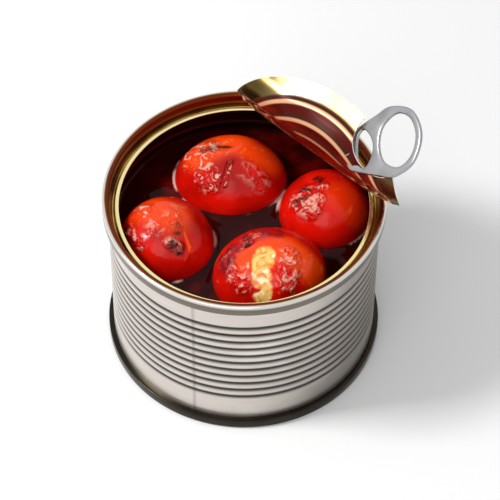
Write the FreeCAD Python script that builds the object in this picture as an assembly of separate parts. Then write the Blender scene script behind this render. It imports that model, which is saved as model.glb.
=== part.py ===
"""Opened steel tin of small roasted tomatoes in their juice, with its easy-open end peeled back.

Millimetres, +Z up.  The origin is the centre of the base, on the surface that the tin stands on.
The front is -Y.  The easy-open end is peeled towards the rear right (+X +Y) and its pull tab
points to +X.
"""
import FreeCAD, Part

import math
import os

from FreeCAD import Vector as V

# ---------------------------------------------------------------- tin body
CAN_HEIGHT = 54.2            # over both double seams
SEAM_RADIUS = 38.1           # outside of both double seams
BODY_RADIUS = 36.65          # outside of the plain body wall
BODY_WALL = 0.30             # lacquered tinplate
SEAM_HEIGHT = 3.3
SEAM_CROWN = 0.75            # rounding of a seam's outer shoulder
BODY_SETBACK = 0.9           # from the seam's crest to the edge of the body wall inside it
BEAD_COUNT = 11
BEAD_PITCH = 3.05
BEAD_DEPTH = 0.5
BEAD_GROOVE_WIDTH = 1.1
BEAD_LOWEST = 12.55          # height of the lowest groove above the base

# ---------------------------------------------------------------- easy-open end
CHUCK_WALL_TOP = 36.1        # radius where the seam turns into the chuck wall
CHUCK_WALL_FOOT = 35.7
COUNTERSINK_RADIUS = 35.2
COUNTERSINK_DEPTH = 4.35     # below the seam's crest
LIP_ROOT = 34.6
LIP_RADIUS = 33.6            # edge of the opening
LIP_DROP = 3.4               # lip below the seam's crest
LIP_ROUNDING = 0.2
END_SHEET = 0.4              # thickness of the end's sheet
COUNTERSINK_RISE = 0.5       # up and inwards, from the countersink's floor to the panel's slope
PANEL_RADIUS = 33.4          # the torn-out disc
FOLD_AZIMUTH = 46.5          # plan direction in which the panel is peeled, from +X
FOLD_OFFSET = 26.4           # from the tin's axis to the line where the panel bends up
RISE_LENGTH = 9.5            # crumpled stretch between the fold and the roll
RISE_ANGLE = 113.6           # slope of that stretch, over the opening
RISE_SHIFT = 6.2             # sideways drift of the panel along that stretch
END_LIFT = 2.6               # bow of the roll, at its two ends
PANEL_ROWS = 8               # facets across the panel
ROLL_RADIUS = 7.2
ROLL_START = 15.6            # from the disc's centre to the start of the roll
FLAP_ANGLE = 31.0            # slope of the flat stretch at the free edge
PANEL_STATIONS = 30
PANEL_TIP = 4.0              # half width of the panel at its last station
NOTCH_RADIUS = 10.0          # edge pulled back by the tab
NOTCH_FROM_WINDOW = -2.9     # deepest point of that edge, from the window's centre
RIVET_RADIUS = 1.4
RIVET_HEAD_RADIUS = 2.0
RIVET_HEAD = 0.4
RIVET_FOOT = 0.7             # from the tab's seat down into the panel

# ---------------------------------------------------------------- pull tab
# measured in the tab's own plane from the centre of its window, +X towards the ring
TAB_NOSE = -6.6
TAB_END = 18.6
TAB_WIDTH = 19.6
TAB_NOSE_WIDTH = 12.4
TAB_THICKNESS = 1.1
TAB_RING_BAR = 1.9
TAB_BRIDGE = 2.1
TAB_WINDOW_LENGTH = 5.4
TAB_WINDOW_WIDTH = 10.6
TAB_RIVET = -4.6             # place of the rivet
TAB_GAP = 0.9                # between the tab and the panel's outer face
TAB_PITCH = 20.0             # lifts the nose off the panel's curl
TAB_SWIVEL = 50.0            # turned about its rivet, away from the peel direction
TAB_ACROSS = 12.7            # window's place on the panel: across, and from the disc's centre
TAB_ALONG = 25.4

# ---------------------------------------------------------------- contents
JUICE_DEPTH = 14.5           # below the seam's crest
TOMATO_CLEARANCE = 0.12      # between a tomato and what it leans on
TOMATO_SHOULDER = 0.05       # extra girth of the waist, as a share of the half width
DIMPLE_DEPTH = 0.10          # stem dimple, as a share of the half height
DIMPLE_SPREAD = 0.32         # radians from the stem's axis
TOMATOES = {
    # name: (centre x, y, depth below the crest, half width, half depth, half height, tilt, turn)
    "tomato_back": (-3.9, 17.9, 15.7, 15.9, 13.9, 13.2, 20.0, 115.0),
    "tomato_left": (-20.8, -5.8, 14.7, 13.5, 13.6, 13.0, 38.0, -30.0),
    "tomato_right": (21.9, 5.8, 15.0, 13.1, 13.1, 12.8, 30.0, 150.0),
    "tomato_front": (6.9, -17.6, 12.7, 15.7, 13.9, 13.2, 34.0, 150.0),
}

# ---------------------------------------------------------------- bottom end
FOOT_INNER = 36.9            # flat ring that the tin stands on
FOOT_OUTER = 37.6
BOTTOM_PANEL_HEIGHT = 3.6
BOTTOM_STEPS = ((33.6, 0.0), (30.5, -0.5), (24.5, -1.0), (18.5, -1.5))
BOTTOM_STEP_RUN = 0.8        # inwards, over which a step drops
BOTTOM_SHELF = 1.2           # flat outside the first step


def export(shape, name):
    """Write one sub-part as a STEP file named after its node."""
    shape.exportStep("parts/%s.step" % name)


def revolve(face):
    return face.revolve(V(0, 0, 0), V(0, 0, 1), 360)


def profile(points):
    """A closed face in the XZ plane from (radius, height) points; a triple marks an arc's middle."""
    edges = []
    here = V(points[0][0], 0, points[0][1])
    middle = None
    for entry in list(points[1:]) + [points[0]]:
        there = V(entry[0], 0, entry[1])
        if len(entry) == 3:
            middle = there
            continue
        if middle is None:
            edges.append(Part.LineSegment(here, there).toShape())
        else:
            edges.append(Part.Arc(here, middle, there).toShape())
        here = there
        middle = None
    return Part.Face(Part.Wire(edges))


def bead_points(radius, rising):
    """The beaded stretch of the wall at a nominal radius, upwards or downwards, with arcs."""
    half = BEAD_GROOVE_WIDTH / 2
    floor = radius - BEAD_DEPTH
    shoulder = radius - BEAD_DEPTH * 0.45
    points = [(radius, BEAD_LOWEST - BEAD_PITCH / 2)]
    for i in range(BEAD_COUNT):
        z = BEAD_LOWEST + i * BEAD_PITCH
        if i > 0:
            points.append((radius, z - BEAD_PITCH / 2, "arc"))
        points.append((shoulder, z - half))
        points.append((floor, z, "arc"))
        points.append((shoulder, z + half))
    points.append((radius, BEAD_LOWEST + (BEAD_COUNT - 0.5) * BEAD_PITCH))
    return points if rising else points[::-1]


def can_body():
    """The beaded cylinder; its edges end inside the two double seams."""
    low = BODY_SETBACK
    high = CAN_HEIGHT - BODY_SETBACK
    inner = BODY_RADIUS - BODY_WALL
    outline = [(BODY_RADIUS, low)] + bead_points(BODY_RADIUS, True) + [(BODY_RADIUS, high), (inner, high)]
    outline += bead_points(inner, False) + [(inner, low)]
    return revolve(profile(outline))


def seam_slot(low, high):
    """The space that the body wall fills inside a seam."""
    outer = Part.makeCylinder(BODY_RADIUS, high - low, V(0, 0, low))
    return outer.cut(Part.makeCylinder(BODY_RADIUS - BODY_WALL, high - low, V(0, 0, low)))


def seam_crest(flip):
    """Outer side of a double seam and its crest, from its hem to the chuck wall."""
    top = CAN_HEIGHT if not flip else 0.0
    sign = -1 if not flip else 1
    crown = SEAM_CROWN * 0.3
    return [
        (BODY_RADIUS, top + sign * SEAM_HEIGHT),
        (SEAM_RADIUS - 0.15, top + sign * SEAM_HEIGHT),
        (SEAM_RADIUS, top + sign * (SEAM_HEIGHT - 0.25)),
        (SEAM_RADIUS, top + sign * SEAM_CROWN),
        (SEAM_RADIUS - crown, top + sign * crown, "arc"),
        (FOOT_OUTER, top),
        (FOOT_INNER, top),
        (CHUCK_WALL_TOP + crown, top + sign * crown, "arc"),
        (CHUCK_WALL_TOP, top + sign * SEAM_CROWN),
    ]


def end_ring():
    """Seam, chuck wall, countersink and the lip left round the opening."""
    top = CAN_HEIGHT
    sheet = END_SHEET
    inner_wall = BODY_RADIUS - BODY_WALL
    outline = seam_crest(False) + [
        (CHUCK_WALL_FOOT, top - COUNTERSINK_DEPTH + COUNTERSINK_RISE),
        (COUNTERSINK_RADIUS, top - COUNTERSINK_DEPTH, "arc"),
        (COUNTERSINK_RADIUS - COUNTERSINK_RISE, top - COUNTERSINK_DEPTH + COUNTERSINK_RISE),
        (LIP_ROOT, top - LIP_DROP),
        (LIP_RADIUS + LIP_ROUNDING, top - LIP_DROP),
        (LIP_RADIUS, top - LIP_DROP - sheet / 2, "arc"),
        (LIP_RADIUS + LIP_ROUNDING, top - LIP_DROP - sheet),
        (LIP_ROOT - sheet, top - LIP_DROP - sheet),
        (COUNTERSINK_RADIUS - COUNTERSINK_RISE - sheet, top - COUNTERSINK_DEPTH + 0.8 * COUNTERSINK_RISE),
        (COUNTERSINK_RADIUS, top - COUNTERSINK_DEPTH - sheet, "arc"),
        (CHUCK_WALL_FOOT + sheet, top - COUNTERSINK_DEPTH + 0.8 * COUNTERSINK_RISE),
        (inner_wall, top - SEAM_HEIGHT),
    ]
    return revolve(profile(outline)).cut(seam_slot(CAN_HEIGHT - SEAM_HEIGHT - 1, CAN_HEIGHT - BODY_SETBACK))


def smooth(t):
    t = min(max(t, 0.0), 1.0)
    return t * t * (3 - 2 * t)


def peel_axes():
    """Plan directions of the peeled panel: outwards, and across it to the right."""
    azimuth = math.radians(FOLD_AZIMUTH)
    return V(math.cos(azimuth), math.sin(azimuth), 0), V(math.sin(azimuth), -math.cos(azimuth), 0)


def panel_point(reach):
    """Middle line of the peeled panel at a distance from the disc's centre: (place, along, outward)."""
    peel, across = peel_axes()
    up = V(0, 0, 1)
    fold = peel * FOLD_OFFSET + up * (CAN_HEIGHT - LIP_DROP - END_SHEET / 2)
    rise = math.radians(RISE_ANGLE)
    share = min((reach + FOLD_OFFSET) / (ROLL_START + FOLD_OFFSET), 1.0)
    length = RISE_LENGTH * share
    place = fold + peel * (length * math.cos(rise)) + up * (length * math.sin(rise))
    place = place + across * (RISE_SHIFT * share)
    turned = min(max(reach - ROLL_START, 0) / ROLL_RADIUS, rise - math.radians(FLAP_ANGLE))
    angle = rise - turned
    place = place + peel * (ROLL_RADIUS * (math.sin(rise) - math.sin(angle)))
    place = place + up * (ROLL_RADIUS * (math.cos(angle) - math.cos(rise)))
    flat = max(reach - ROLL_START - turned * ROLL_RADIUS, 0)
    along = peel * math.cos(angle) + up * math.sin(angle)
    return place + along * flat, along, peel * math.sin(angle) - up * math.cos(angle)


def panel_half(reach):
    """Half width of the peeled panel; it opens out steadily along the crumpled rise."""
    if reach >= ROLL_START:
        return math.sqrt(PANEL_RADIUS ** 2 - reach ** 2)
    low = math.sqrt(PANEL_RADIUS ** 2 - FOLD_OFFSET ** 2)
    high = math.sqrt(PANEL_RADIUS ** 2 - ROLL_START ** 2)
    return low + (high - low) * math.sin(math.pi / 2 * (reach + FOLD_OFFSET) / (ROLL_START + FOLD_OFFSET))


def panel_section(reach):
    """Closed cross-section of the peeled panel, bowed at its ends."""
    across = peel_axes()[1]
    place, along, outward = panel_point(reach)
    half = panel_half(reach)
    bow = END_LIFT * smooth((reach + FOLD_OFFSET) / (ROLL_START + FOLD_OFFSET))
    bow = bow * (half ** 2 - PANEL_TIP ** 2) / PANEL_RADIUS ** 2
    line = []
    for i in range(PANEL_ROWS + 1):
        v = half * (2.0 * i / PANEL_ROWS - 1)
        line.append(place + across * v + along * (bow * (v / half) ** 2))
    thick = outward * (END_SHEET / 2)
    corners = [p - thick for p in line] + [p + thick for p in reversed(line)]
    return Part.makePolygon(corners + corners[:1])


def rolled_panel():
    """The torn-out disc, bent up at the fold and curled back."""
    last = math.sqrt(PANEL_RADIUS ** 2 - PANEL_TIP ** 2)
    reaches = [-FOLD_OFFSET + (last + FOLD_OFFSET) * i / PANEL_STATIONS for i in range(PANEL_STATIONS + 1)]
    sheet = Part.makeLoft([panel_section(reach) for reach in reaches], True, True)
    notch = Part.makeCylinder(NOTCH_RADIUS, 8, V(NOTCH_FROM_WINDOW + NOTCH_RADIUS, 0, -4))
    return sheet.cut(place_flat(notch))


def fold_segment():
    """The part of the disc that stays in the end, beyond the fold."""
    base = CAN_HEIGHT - LIP_DROP - END_SHEET
    disc = Part.makeCylinder(LIP_ROOT - 0.3, END_SHEET, V(0, 0, base))
    keep = Part.makeBox(2 * SEAM_RADIUS, 4 * SEAM_RADIUS, 10, V(FOLD_OFFSET - 0.15, -2 * SEAM_RADIUS, base - 5))
    keep.rotate(V(0, 0, 0), V(0, 0, 1), FOLD_AZIMUTH)
    return disc.common(keep)


def place_flat(shape):
    """Move a shape from the tab's flat frame (window's centre, ring at +X, outwards +Z) onto the panel."""
    across = peel_axes()[1]
    edge, along, outward = panel_point(PANEL_RADIUS)
    seat = edge + along * (TAB_ALONG - PANEL_RADIUS) + across * TAB_ACROSS + outward * (END_SHEET / 2)
    turn = math.radians(TAB_SWIVEL)
    direction = along * math.cos(turn) + across * math.sin(turn)
    side = outward.cross(direction)
    pitch = math.radians(TAB_PITCH)
    direction, outward = (direction * math.cos(pitch) - outward * math.sin(pitch),
                          outward * math.cos(pitch) + direction * math.sin(pitch))
    matrix = FreeCAD.Matrix(direction.x, side.x, outward.x, seat.x,
                            direction.y, side.y, outward.y, seat.y,
                            direction.z, side.z, outward.z, seat.z,
                            0, 0, 0, 1)
    placed = shape.copy()
    placed.transformShape(matrix)
    return placed


def rivet():
    """Stem through the tab and its head, formed from the panel."""
    top = TAB_GAP + TAB_THICKNESS
    stem = Part.makeCylinder(RIVET_RADIUS, top + RIVET_FOOT + RIVET_HEAD, V(TAB_RIVET, 0, -RIVET_FOOT))
    head = Part.makeCylinder(RIVET_HEAD_RADIUS, RIVET_HEAD, V(TAB_RIVET, 0, top))
    return place_flat(stem.fuse(head))


def easy_open_end():
    """Ring, fold and rolled panel are one sheet; the rivet is formed from it."""
    return end_ring().fuse([fold_segment(), rolled_panel(), rivet()])


def closed_curve(points):
    curve = Part.BSplineCurve()
    curve.interpolate([V(x, y, TAB_GAP) for x, y in points], PeriodicFlag=True)
    return Part.Face(Part.Wire([curve.toShape()]))


def mirrored(points):
    """Close an outline given for its upper side, whose first and last points lie on the axis."""
    return points + [(x, -y) for x, y in points[-2:0:-1]]


def tab_outline():
    half = TAB_WIDTH / 2
    nose = TAB_NOSE_WIDTH / 2
    middle = TAB_END - half * 0.98
    return mirrored([(TAB_NOSE, 0), (TAB_NOSE + 1.0, nose * 0.72), (TAB_NOSE + 4.2, nose),
                     (middle - 5.0, half * 0.86), (middle, half), (TAB_END - 2.9, half * 0.74), (TAB_END, 0)])


def tab_finger_hole():
    start = TAB_WINDOW_LENGTH / 2 + TAB_BRIDGE
    end = TAB_END - TAB_RING_BAR
    half = TAB_WIDTH / 2 - TAB_RING_BAR - 0.6
    middle = (start + end) / 2
    return mirrored([(start, 0), (start + 1.4, half * 0.66), (middle, half), (end - 1.7, half * 0.7), (end, 0)])


def tab_window():
    start = -TAB_WINDOW_LENGTH / 2
    half = TAB_WINDOW_WIDTH / 2
    return mirrored([(start, 0), (start + 0.5, half * 0.7), (start + TAB_WINDOW_LENGTH * 0.45, half),
                     (-start - 0.9, half * 0.6), (-start, 0)])


def pull_tab():
    """Flat ring with a finger hole and the window that its riveted tongue left."""
    height = V(0, 0, TAB_THICKNESS)
    plate = closed_curve(tab_outline()).extrude(height)
    for hole in (tab_finger_hole(), tab_window()):
        plate = plate.cut(closed_curve(hole).extrude(height))
    plate = plate.cut(Part.makeCylinder(RIVET_RADIUS, 2 * TAB_THICKNESS, V(TAB_RIVET, 0, 0)))
    return place_flat(plate)


def tomato(name):
    """A round fruit with a stem dimple, tilted as it lies."""
    x, y, depth, half_x, half_y, half_z, tilt, turn = TOMATOES[name]
    points = []
    count = 14
    for i in range(count + 1):
        angle = math.pi * i / count
        radius = math.sin(angle) * (1 + TOMATO_SHOULDER * math.sin(angle) ** 2)
        height = math.cos(angle) - DIMPLE_DEPTH * math.exp(-(angle / DIMPLE_SPREAD) ** 2)
        points.append(V(radius if 0 < i < count else 0, 0, height))
    curve = Part.BSplineCurve()
    curve.interpolate(points)
    axis = Part.LineSegment(points[-1], points[0]).toShape()
    fruit = revolve(Part.Face(Part.Wire([curve.toShape(), axis])))
    if fruit.Volume < 0:
        fruit.reverse()
    fruit.rotate(V(0, 0, 0), V(0, 1, 0), tilt)
    fruit.rotate(V(0, 0, 0), V(0, 0, 1), turn)
    waist = 1 + TOMATO_SHOULDER
    grow = FreeCAD.Matrix()
    grow.scale((half_x - TOMATO_CLEARANCE) / waist, (half_y - TOMATO_CLEARANCE) / waist, half_z - TOMATO_CLEARANCE)
    fruit = fruit.transformGeometry(grow)
    fruit.translate(V(x, y, CAN_HEIGHT - depth))
    return fruit


def bottom_surface():
    """Upper face of the bottom end from the seam inwards, as (radius, height)."""
    return [(radius, BOTTOM_PANEL_HEIGHT + drop) for radius, drop in BOTTOM_STEPS]


def bottom_end():
    """Double seam, chuck wall and stepped panel."""
    sheet = END_SHEET
    inner_wall = BODY_RADIUS - BODY_WALL
    outline = seam_crest(True)
    outline.append((CHUCK_WALL_FOOT, BOTTOM_PANEL_HEIGHT - sheet - 0.6))
    surface = bottom_surface()
    outline.append((surface[0][0] + BOTTOM_SHELF, surface[0][1] - sheet))
    for i, (radius, height) in enumerate(surface):
        outline.append((radius, height - sheet))
        if i + 1 < len(surface):
            outline.append((radius - BOTTOM_STEP_RUN, surface[i + 1][1] - sheet))
    outline += [(0, surface[-1][1] - sheet), (0, surface[-1][1])]
    for i in range(len(surface) - 1, -1, -1):
        radius, height = surface[i]
        if i + 1 < len(surface):
            outline.append((radius - BOTTOM_STEP_RUN, surface[i + 1][1]))
        outline.append((radius, height))
    outline.append((surface[0][0] + BOTTOM_SHELF, surface[0][1]))
    outline.append((inner_wall, BOTTOM_PANEL_HEIGHT))
    outline.append((inner_wall, SEAM_HEIGHT))
    return revolve(profile(outline)).cut(seam_slot(BODY_SETBACK, SEAM_HEIGHT + 1))


def juice(fruits):
    """Juice from the bottom end up to its level, cut round the tomatoes."""
    level = CAN_HEIGHT - JUICE_DEPTH
    inner = BODY_RADIUS - BODY_WALL
    surface = bottom_surface()
    outline = [(inner, BOTTOM_PANEL_HEIGHT)] + bead_points(inner, True)
    outline += [(inner, CAN_HEIGHT - SEAM_HEIGHT - 2), (0, CAN_HEIGHT - SEAM_HEIGHT - 2), (0, surface[-1][1])]
    for i in range(len(surface) - 1, -1, -1):
        radius, height = surface[i]
        if i + 1 < len(surface):
            outline.append((radius - BOTTOM_STEP_RUN, surface[i + 1][1]))
        outline.append((radius, height))
    outline.append((surface[0][0] + BOTTOM_SHELF, surface[0][1]))
    filling = revolve(profile(outline))
    trim = Part.makeBox(4 * SEAM_RADIUS, 4 * SEAM_RADIUS, CAN_HEIGHT, V(-2 * SEAM_RADIUS, -2 * SEAM_RADIUS, level))
    filling = filling.cut(trim)
    return filling.cut(fruits)


def main():
    os.makedirs("parts", exist_ok=True)
    export(can_body(), "can_body")
    export(bottom_end(), "bottom_end")
    export(easy_open_end(), "easy_open_end")
    export(pull_tab(), "pull_tab")
    fruits = {name: tomato(name) for name in TOMATOES}
    for name, fruit in fruits.items():
        export(fruit, name)
    export(juice(list(fruits.values())), "juice")


main()
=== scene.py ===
"""Looks of an opened steel tin of small roasted tomatoes in their juice.

The tin stands on its base at the origin, +Z up, front towards -Y.  Each class below makes one
sub-assembly of the real thing: the beaded wall, the two ends, the peeled lid with its pull tab,
the juice and the four tomatoes.  Sizes of the tin are written in millimetres and scaled to metres
once; lights, noise and relief are in metres.
"""
import logging
import random
from dataclasses import dataclass
from enum import Enum
from math import acos, cos, dist, exp, hypot, pi, radians, sin, sqrt, tau
from typing import Callable, Iterable, Sequence

import bmesh
import bpy
from bmesh.types import BMesh, BMVert
from bpy.types import Material, NodeSocket, Object
from mathutils import Matrix, Vector, noise

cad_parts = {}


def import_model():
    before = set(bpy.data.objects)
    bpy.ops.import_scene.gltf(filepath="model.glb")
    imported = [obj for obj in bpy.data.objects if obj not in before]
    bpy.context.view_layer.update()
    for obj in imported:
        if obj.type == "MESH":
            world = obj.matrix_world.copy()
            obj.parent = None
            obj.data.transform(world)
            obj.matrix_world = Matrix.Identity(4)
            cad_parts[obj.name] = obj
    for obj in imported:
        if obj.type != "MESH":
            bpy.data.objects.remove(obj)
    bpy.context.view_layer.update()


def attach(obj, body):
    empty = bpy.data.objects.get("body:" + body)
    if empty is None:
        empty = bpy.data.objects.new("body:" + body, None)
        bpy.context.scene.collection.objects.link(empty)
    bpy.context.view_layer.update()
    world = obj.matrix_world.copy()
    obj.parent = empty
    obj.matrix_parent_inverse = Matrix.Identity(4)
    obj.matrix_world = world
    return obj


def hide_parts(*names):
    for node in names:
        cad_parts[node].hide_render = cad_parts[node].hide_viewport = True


LOG = logging.getLogger("tin")
MM = 0.001
Point2 = tuple[float, float]
Point3 = tuple[float, float, float]
Colour = tuple[float, float, float]
LID_BEADS = (27.0, 22.4, 18.2)  # radii of the rings pressed into the lid
ARC_STEP = 30  # degrees between the points of a small rounded corner
CORE = 0.35  # part of a band or patch that shows in full before it fades


class Node(Enum):
    """Named solids that the pieces stand for."""

    WALL = "can_body"
    BASE = "bottom_end"
    LID = "easy_open_end"
    TAB = "pull_tab"
    JUICE = "juice"


class Slot(Enum):
    """Material slots of the pieces."""

    TINPLATE = "tinplate"
    GOLD = "gold_lacquer"
    ALUMINIUM = "aluminium"
    JUICE = "juice"
    SKIN = "tomato_skin"


# ------------------------------------------------------------------ shader building


class Shader:
    """A procedural material under construction."""

    MIX_INPUTS = (0, 6, 7)  # share and the two colours of a Mix node
    MIX_RESULT = 2  # its colour output

    def __init__(self, name: str) -> None:
        """Start an empty material whose output is a Principled surface."""
        self.material = bpy.data.materials.new(name)
        self.material.use_nodes = True
        self.tree = self.material.node_tree
        self.tree.nodes.clear()
        self.surface = self.add("BsdfPrincipled")
        self.link(self.surface.outputs[0], self.add("OutputMaterial").inputs[0])

    def add(self, kind: str, **settings):
        """A new node of a kind, with its own settings."""
        node = self.tree.nodes.new("ShaderNode" + kind)
        for name, value in settings.items():
            setattr(node, name, value)
        return node

    def link(self, source, target) -> None:
        """Join two sockets."""
        self.tree.links.new(source, target)

    def put(self, socket, value) -> None:
        """Give an input either a constant or another node's output."""
        if isinstance(value, NodeSocket):
            self.link(value, socket)
        elif isinstance(value, tuple) and len(value) == 3 and socket.type == "RGBA":
            socket.default_value = (*value, 1.0)
        else:
            socket.default_value = value

    def principled(self, **values) -> None:
        """Set inputs of the surface; underscores in a name stand for spaces."""
        for name, value in values.items():
            self.put(self.surface.inputs[name.replace("_", " ").title().replace("Ior", "IOR")], value)

    def math(self, operation: str, *values, clamp: bool = False):
        """A maths node.

        Args:
            operation: Blender's name for it.
            values: numbers or sockets, in order.
            clamp: whether the result is held between 0 and 1.
        Returns:
            Its output socket.
        """
        node = self.add("Math", operation=operation, use_clamp=clamp)
        for socket, value in zip(node.inputs, values):
            self.put(socket, value)
        return node.outputs[0]

    def times(self, first, second, clamp: bool = False):
        """Product of two numbers or sockets."""
        return self.math("MULTIPLY", first, second, clamp=clamp)

    def rest(self, share):
        """What a share leaves of 1."""
        return self.math("SUBTRACT", 1.0, share)

    def varied(self, base: float, value, amount: float):
        """A number plus some of a value."""
        return self.math("ADD", base, self.times(value, amount))

    def radius(self, first, second):
        """Distance from the origin of two coordinates."""
        return self.math("SQRT", self.math("ADD", self.times(first, first), self.times(second, second)))

    def span(self, value, low: float, high: float):
        """Share of a value between two limits, smoothed: 0 at the first, 1 at the second."""
        node = self.add("MapRange", interpolation_type="SMOOTHSTEP")
        self.put(node.inputs["Value"], value)
        self.put(node.inputs["From Min"], min(low, high))
        self.put(node.inputs["From Max"], max(low, high))
        share = node.outputs["Result"]
        return share if low < high else self.rest(share)

    def band(self, value, centre: float, half: float):
        """1 at a value, falling to 0 at a distance either side of it."""
        away = self.math("ABSOLUTE", self.math("SUBTRACT", value, centre))
        return self.rest(self.span(away, half * CORE, half))

    def mix(self, share, first, second):
        """Blend two colours by a share."""
        node = self.add("Mix", data_type="RGBA")
        for index, value in zip(self.MIX_INPUTS, (share, first, second)):
            self.put(node.inputs[index], value)
        return node.outputs[self.MIX_RESULT]

    def tint(self, under, over, share, amount: float):
        """Lay a colour over another by some of a share."""
        return self.mix(self.times(share, amount), under, over)

    def split(self, vector):
        """The three parts of a vector."""
        parts = self.add("SeparateXYZ")
        self.link(vector, parts.inputs[0])
        return tuple(parts.outputs)

    def position(self):
        """Object coordinates, in metres: (vector, x, y, z)."""
        vector = self.add("TexCoord").outputs["Object"]
        return (vector, *self.split(vector))

    def facing_down(self):
        """How far a surface looks towards the floor, from 0 for upright to 1."""
        return self.times(self.split(self.add("NewGeometry").outputs["Normal"])[2], -1.0)

    def uv(self):
        """The two flat coordinates laid on a sheet, in units of 100 mm."""
        return self.split(self.add("UVMap", uv_map="sheet").outputs[0])[:2]

    def attribute(self, name: str):
        """A painted share stored on the mesh."""
        return self.add("Attribute", attribute_name=name).outputs["Fac"]

    def noise(self, vector, scale: float, detail: float = 4.0, stretch: Vector | None = None,
              warp: float = 0.0):
        """Fractal noise.

        Args:
            vector: where to read it.
            scale: features per metre.
            detail: number of octaves.
            stretch: scale along each axis before the noise, if uneven.
            warp: distortion.
        Returns:
            The noise's value socket.
        """
        if stretch is not None:
            mapping = self.add("Mapping")
            self.link(vector, mapping.inputs["Vector"])
            mapping.inputs["Scale"].default_value = stretch
            vector = mapping.outputs[0]
        node = self.add("TexNoise")
        for name, value in (("Vector", vector), ("Scale", scale), ("Detail", detail), ("Distortion", warp)):
            self.put(node.inputs[name], value)
        return node.outputs[0]

    def bump(self, height, distance: float, strength: float = 1.0, base=None):
        """Surface relief from a height socket, added to another relief if given."""
        node = self.add("Bump")
        for name, value in (("Strength", strength), ("Distance", distance), ("Height", height)):
            self.put(node.inputs[name], value)
        if base is not None:
            self.link(base, node.inputs["Normal"])
        self.link(node.outputs[0], self.surface.inputs["Normal"])
        return node.outputs[0]


@dataclass(frozen=True)
class WallFinish:
    """Plain tinplate outside with its side weld and small pits; painted shade makes the inside near black
    and darkens the grooves, the undersides of the beads and the side towards the right and the bottom.
    """

    outside: Colour = (0.68, 0.63, 0.585)
    streaked: Colour = (0.40, 0.35, 0.31)
    bright: Colour = (0.78, 0.73, 0.69)
    shaded: Colour = (0.085, 0.072, 0.060)
    welded: Colour = (0.30, 0.26, 0.24)
    # Painted shade in the grooves and under the beads; also the colour of the small pits.
    groove: Colour = (0.028, 0.021, 0.016)
    # Painted shade: the inside of the wall coloured near black.
    inside: Colour = (0.045, 0.006, 0.004)
    floor_radius: float = 36.15
    crest_radius: float = 36.62
    weld_azimuth: float = radians(249.0)
    weld_half: float = radians(1.1)

    def build(self) -> Material:
        """Make the material."""
        s = Shader("tinplate wall")
        vector, x, y, z = s.position()
        outer = s.math("GREATER_THAN", s.attribute("outer"), 0.5)
        depth = s.rest(s.span(s.radius(x, y), self.floor_radius * MM, self.crest_radius * MM))
        streaks = s.noise(vector, 60.0, 5.0, Vector((1.0, 1.0, 9.0)))
        clouds = s.noise(vector, 45.0, 3.0)
        plain = s.tint(self.outside, self.streaked, streaks, 0.35)
        plain = s.mix(s.span(clouds, 0.52, 0.75), plain, self.bright)
        # Painted shade: the plain wall darkens towards the right and towards the bottom.
        side = s.span(s.math("SUBTRACT", x, s.times(z, 0.35)), -0.012, 0.036)
        plain = s.tint(plain, self.shaded, side, 0.78)
        angle = s.math("ARCTAN2", s.times(y, -1.0), s.times(x, -1.0))
        weld = s.band(angle, self.weld_azimuth - pi, self.weld_half)
        plain = s.tint(plain, self.welded, weld, 0.45)
        pits = s.times(s.span(s.noise(vector, 1300.0, 1.0), 0.70, 0.76), s.span(clouds, 0.60, 0.68))
        plain = s.tint(plain, self.groove, pits, 0.6)
        # Painted shade: the grooves, by their depth, and every face that looks down take the dark groove
        # colour, more so towards the right.
        under = s.span(s.facing_down(), 0.04, 0.40)
        shade = s.math("MAXIMUM", s.times(s.math("POWER", depth, 0.7), 0.97),
                       s.times(under, s.varied(0.75, side, 0.24)))
        plain = s.mix(shade, plain, self.groove)
        # The inner skin takes the near-black inside colour of painted shade.
        s.principled(base_color=s.mix(outer, self.inside, plain), metallic=0.88,
                     roughness=s.varied(0.26, clouds, 0.14))
        s.bump(weld, 0.00008, 0.6, s.bump(streaks, 0.00006, 0.35))
        return s.material


@dataclass(frozen=True)
class EndFinish:
    """Silver seam outside and gold lacquer on the chuck wall, countersink and lip, with painted shade on the
    seam's outer side and on the chuck wall and a painted highlight on the lip.
    """

    silver: Colour = (0.72, 0.69, 0.64)
    # Painted shade on the seam's outer side below its crest.
    flank: Colour = (0.17, 0.145, 0.12)
    gold: Colour = (0.62, 0.42, 0.11)
    brown: Colour = (0.15, 0.026, 0.007)
    pale: Colour = (0.95, 0.86, 0.42)
    flank_top: float = 53.9
    crest: float = 37.55
    wall: float = 36.45
    lip: float = 34.35
    blend: float = 0.35

    def build(self) -> Material:
        """Make the material."""
        s = Shader("gold lacquered end")
        vector, x, y, z = s.position()
        radius = s.radius(x, y)
        patchy = s.noise(vector, 90.0, 3.0)
        inside = s.mix(s.span(patchy, 0.35, 0.75), self.gold, self.brown)
        # Painted shade: the chuck wall darkened to brown.
        inside = s.mix(s.band(radius, self.wall * MM, 1.3 * MM), inside, self.brown)
        # Painted highlight: the lip coloured pale.
        inside = s.mix(s.span(radius, (self.lip + self.blend) * MM, self.lip * MM), inside, self.pale)
        # Painted shade: the seam's outer side below its crest takes the dark flank colour.
        silver = s.mix(s.span(z, self.flank_top * MM, (self.flank_top - 0.8) * MM), self.silver, self.flank)
        colour = s.mix(s.span(radius, (self.crest - self.blend) * MM, self.crest * MM), inside, silver)
        s.principled(base_color=colour, metallic=0.95, roughness=s.varied(0.14, patchy, 0.12))
        s.bump(s.noise(vector, 500.0, 3.0), 0.00002, 0.4)
        return s.material


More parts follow.
